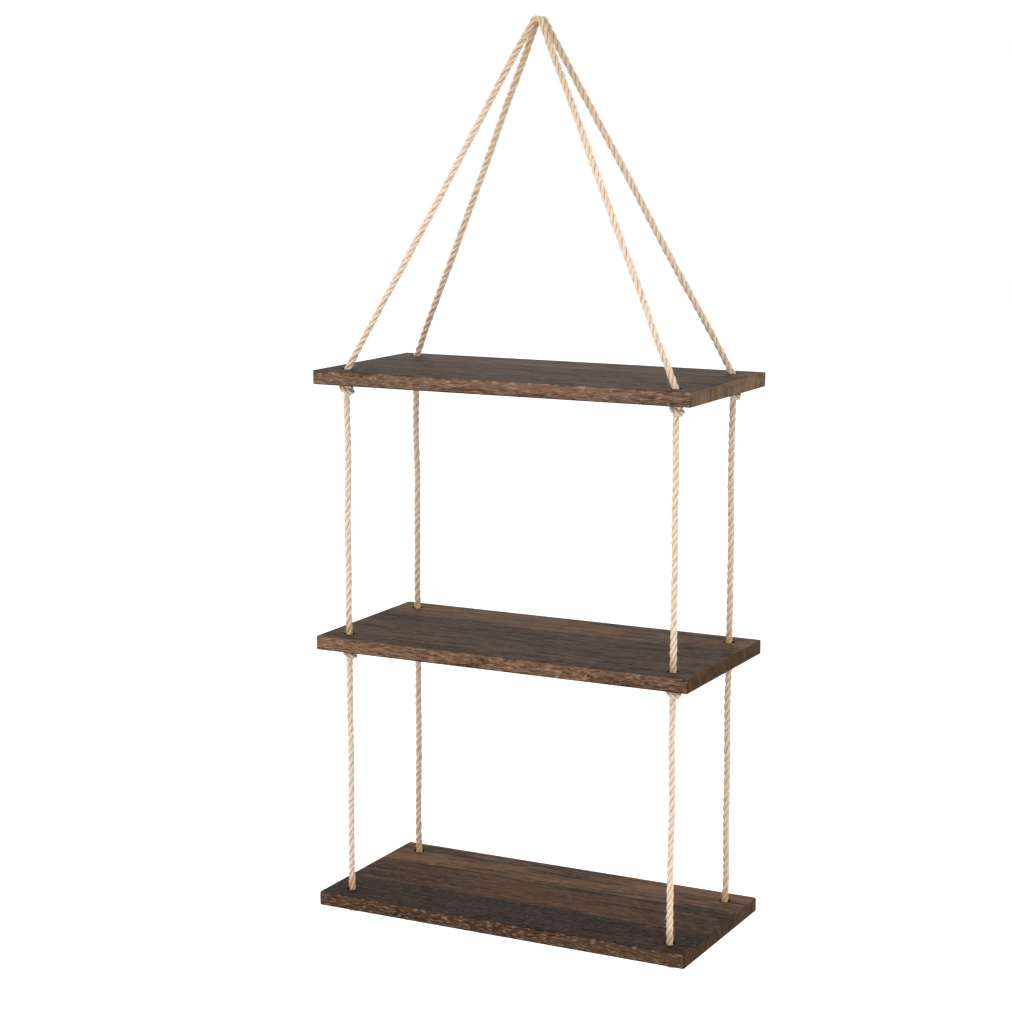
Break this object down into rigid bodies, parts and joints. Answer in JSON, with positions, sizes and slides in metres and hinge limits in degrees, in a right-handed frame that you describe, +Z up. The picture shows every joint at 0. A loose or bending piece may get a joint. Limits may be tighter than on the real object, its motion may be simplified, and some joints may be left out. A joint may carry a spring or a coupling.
{
  "type": "hanging rope shelf",
  "caption": "Hanging shelf of stained wooden boards on knotted jute ropes that run from one hook down through holes near the boards' corners.",
  "frame": {"origin": "where the ropes bear on the hook, midway between the two ropes", "axes": "+Z up, +X along the boards to the right seen from the front, +Y back towards the wall"},
  "size_m": [0.43, 0.2, 0.9586],
  "materials": {
    "stained_wood": "satin",
    "jute_rope": "rough"
  },
  "bodies": {
    "top_tier": {"top_board_front_stave": "stained_wood", "top_board_middle_stave": "stained_wood", "top_board_back_stave": "stained_wood", "front_rope_over_hook": "jute_rope", "back_rope_over_hook": "jute_rope", "front_left_top_rope": "jute_rope", "back_left_top_rope": "jute_rope", "front_right_top_rope": "jute_rope", "back_right_top_rope": "jute_rope"},
    "front_left_middle_bend": {"front_left_middle_bend": "jute_rope"},
    "front_left_middle_rope": {"front_left_middle_rope": "jute_rope"},
    "back_left_middle_bend": {"back_left_middle_bend": "jute_rope"},
    "back_left_middle_rope": {"back_left_middle_rope": "jute_rope"},
    "front_right_middle_bend": {"front_right_middle_bend": "jute_rope"},
    "front_right_middle_rope": {"front_right_middle_rope": "jute_rope"},
    "back_right_middle_bend": {"back_right_middle_bend": "jute_rope"},
    "back_right_middle_rope": {"back_right_middle_rope": "jute_rope"},
    "front_left_middle_foot_bend": {"front_left_middle_foot_bend": "jute_rope"},
    "middle_board": {"middle_board_front_stave_left": "stained_wood", "middle_board_front_stave_right": "stained_wood", "middle_board_middle_stave": "stained_wood", "middle_board_back_stave": "stained_wood", "middle_board_front_left_knot": "jute_rope", "middle_board_back_left_knot": "jute_rope", "middle_board_front_right_knot": "jute_rope", "middle_board_back_right_knot": "jute_rope"},
    "front_left_bottom_bend": {"front_left_bottom_bend": "jute_rope"},
    "front_left_bottom_rope": {"front_left_bottom_rope": "jute_rope"},
    "back_left_bottom_bend": {"back_left_bottom_bend": "jute_rope"},
    "back_left_bottom_rope": {"back_left_bottom_rope": "jute_rope"},
    "front_right_bottom_bend": {"front_right_bottom_bend": "jute_rope"},
    "front_right_bottom_rope": {"front_right_bottom_rope": "jute_rope"},
    "back_right_bottom_bend": {"back_right_bottom_bend": "jute_rope"},
    "back_right_bottom_rope": {"back_right_bottom_rope": "jute_rope"},
    "front_left_bottom_foot_bend": {"front_left_bottom_foot_bend": "jute_rope"},
    "bottom_board": {"bottom_board_front_stave": "stained_wood", "bottom_board_middle_stave": "stained_wood", "bottom_board_back_stave": "stained_wood", "bottom_board_front_left_knot": "jute_rope", "bottom_board_back_left_knot": "jute_rope", "bottom_board_front_right_knot": "jute_rope", "bottom_board_back_right_knot": "jute_rope"}
  },
  "joints": [
    {"name": "middle_board_side_sway", "type": "hinge", "parent": "top_tier", "child": "front_left_middle_bend", "pos_m": [-0.1885, -0.0745, -0.38824], "axis": [0, -1, 0], "range_deg": [-15, 15]},
    {"name": "middle_board_front_sway", "type": "hinge", "parent": "front_left_middle_bend", "child": "front_left_middle_rope", "pos_m": [-0.1885, -0.0745, -0.38824], "axis": [1, 0, 0], "range_deg": [-15, 15]},
    {"name": "back_left_middle_bend_side_turn", "type": "hinge", "parent": "top_tier", "child": "back_left_middle_bend", "pos_m": [-0.1885, 0.0745, -0.38824], "axis": [0, -1, 0], "range_deg": [-15, 15]},
    {"name": "back_left_middle_rope_front_turn", "type": "hinge", "parent": "back_left_middle_bend", "child": "back_left_middle_rope", "pos_m": [-0.1885, 0.0745, -0.38824], "axis": [1, 0, 0], "range_deg": [-15, 15]},
    {"name": "front_right_middle_bend_side_turn", "type": "hinge", "parent": "top_tier", "child": "front_right_middle_bend", "pos_m": [0.1885, -0.0745, -0.38824], "axis": [0, -1, 0], "range_deg": [-15, 15]},
    {"name": "front_right_middle_rope_front_turn", "type": "hinge", "parent": "front_right_middle_bend", "child": "front_right_middle_rope", "pos_m": [0.1885, -0.0745, -0.38824], "axis": [1, 0, 0], "range_deg": [-15, 15]},
    {"name": "back_right_middle_bend_side_turn", "type": "hinge", "parent": "top_tier", "child": "back_right_middle_bend", "pos_m": [0.1885, 0.0745, -0.38824], "axis": [0, -1, 0], "range_deg": [-15, 15]},
    {"name": "back_right_middle_rope_front_turn", "type": "hinge", "parent": "back_right_middle_bend", "child": "back_right_middle_rope", "pos_m": [0.1885, 0.0745, -0.38824], "axis": [1, 0, 0], "range_deg": [-15, 15]},
    {"name": "front_left_middle_foot_bend_front_turn", "type": "hinge", "parent": "front_left_middle_rope", "child": "front_left_middle_foot_bend", "pos_m": [-0.1885, -0.0745, -0.646], "axis": [1, 0, 0], "range_deg": [-15, 15]},
    {"name": "middle_board_levelling_turn", "type": "hinge", "parent": "front_left_middle_foot_bend", "child": "middle_board", "pos_m": [-0.1885, -0.0745, -0.646], "axis": [0, -1, 0], "range_deg": [-15, 15]},
    {"name": "bottom_board_side_sway", "type": "hinge", "parent": "middle_board", "child": "front_left_bottom_bend", "pos_m": [-0.1885, -0.0745, -0.67324], "axis": [0, -1, 0], "range_deg": [-15, 15]},
    {"name": "bottom_board_front_sway", "type": "hinge", "parent": "front_left_bottom_bend", "child": "front_left_bottom_rope", "pos_m": [-0.1885, -0.0745, -0.67324], "axis": [1, 0, 0], "range_deg": [-15, 15]},
    {"name": "back_left_bottom_bend_side_turn", "type": "hinge", "parent": "middle_board", "child": "back_left_bottom_bend", "pos_m": [-0.1885, 0.0745, -0.67324], "axis": [0, -1, 0], "range_deg": [-15, 15]},
    {"name": "back_left_bottom_rope_front_turn", "type": "hinge", "parent": "back_left_bottom_bend", "child": "back_left_bottom_rope", "pos_m": [-0.1885, 0.0745, -0.67324], "axis": [1, 0, 0], "range_deg": [-15, 15]},
    {"name": "front_right_bottom_bend_side_turn", "type": "hinge", "parent": "middle_board", "child": "front_right_bottom_bend", "pos_m": [0.1885, -0.0745, -0.67324], "axis": [0, -1, 0], "range_deg": [-15, 15]},
    {"name": "front_right_bottom_rope_front_turn", "type": "hinge", "parent": "front_right_bottom_bend", "child": "front_right_bottom_rope", "pos_m": [0.1885, -0.0745, -0.67324], "axis": [1, 0, 0], "range_deg": [-15, 15]},
    {"name": "back_right_bottom_bend_side_turn", "type": "hinge", "parent": "middle_board", "child": "back_right_bottom_bend", "pos_m": [0.1885, 0.0745, -0.67324], "axis": [0, -1, 0], "range_deg": [-15, 15]},
    {"name": "back_right_bottom_rope_front_turn", "type": "hinge", "parent": "back_right_bottom_bend", "child": "back_right_bottom_rope", "pos_m": [0.1885, 0.0745, -0.67324], "axis": [1, 0, 0], "range_deg": [-15, 15]},
    {"name": "front_left_bottom_foot_bend_front_turn", "type": "hinge", "parent": "front_left_bottom_rope", "child": "front_left_bottom_foot_bend", "pos_m": [-0.1885, -0.0745, -0.931], "axis": [1, 0, 0], "range_deg": [-15, 15]},
    {"name": "bottom_board_levelling_turn", "type": "hinge", "parent": "front_left_bottom_foot_bend", "child": "bottom_board", "pos_m": [-0.1885, -0.0745, -0.931], "axis": [0, -1, 0], "range_deg": [-15, 15]}
  ],
  "couplings": [
    {"joint": "back_left_middle_bend_side_turn", "follows": "middle_board_side_sway", "ratio": 1},
    {"joint": "back_left_middle_rope_front_turn", "follows": "middle_board_front_sway", "ratio": 1},
    {"joint": "front_right_middle_bend_side_turn", "follows": "middle_board_side_sway", "ratio": 1},
    {"joint": "front_right_middle_rope_front_turn", "follows": "middle_board_front_sway", "ratio": 1},
    {"joint": "back_right_middle_bend_side_turn", "follows": "middle_board_side_sway", "ratio": 1},
    {"joint": "back_right_middle_rope_front_turn", "follows": "middle_board_front_sway", "ratio": 1},
    {"joint": "front_left_middle_foot_bend_front_turn", "follows": "middle_board_front_sway", "ratio": -1},
    {"joint": "middle_board_levelling_turn", "follows": "middle_board_side_sway", "ratio": -1},
    {"joint": "back_left_bottom_bend_side_turn", "follows": "bottom_board_side_sway", "ratio": 1},
    {"joint": "back_left_bottom_rope_front_turn", "follows": "bottom_board_front_sway", "ratio": 1},
    {"joint": "front_right_bottom_bend_side_turn", "follows": "bottom_board_side_sway", "ratio": 1},
    {"joint": "front_right_bottom_rope_front_turn", "follows": "bottom_board_front_sway", "ratio": 1},
    {"joint": "back_right_bottom_bend_side_turn", "follows": "bottom_board_side_sway", "ratio": 1},
    {"joint": "back_right_bottom_rope_front_turn", "follows": "bottom_board_front_sway", "ratio": 1},
    {"joint": "front_left_bottom_foot_bend_front_turn", "follows": "bottom_board_front_sway", "ratio": -1},
    {"joint": "bottom_board_levelling_turn", "follows": "bottom_board_side_sway", "ratio": -1}
  ]
}
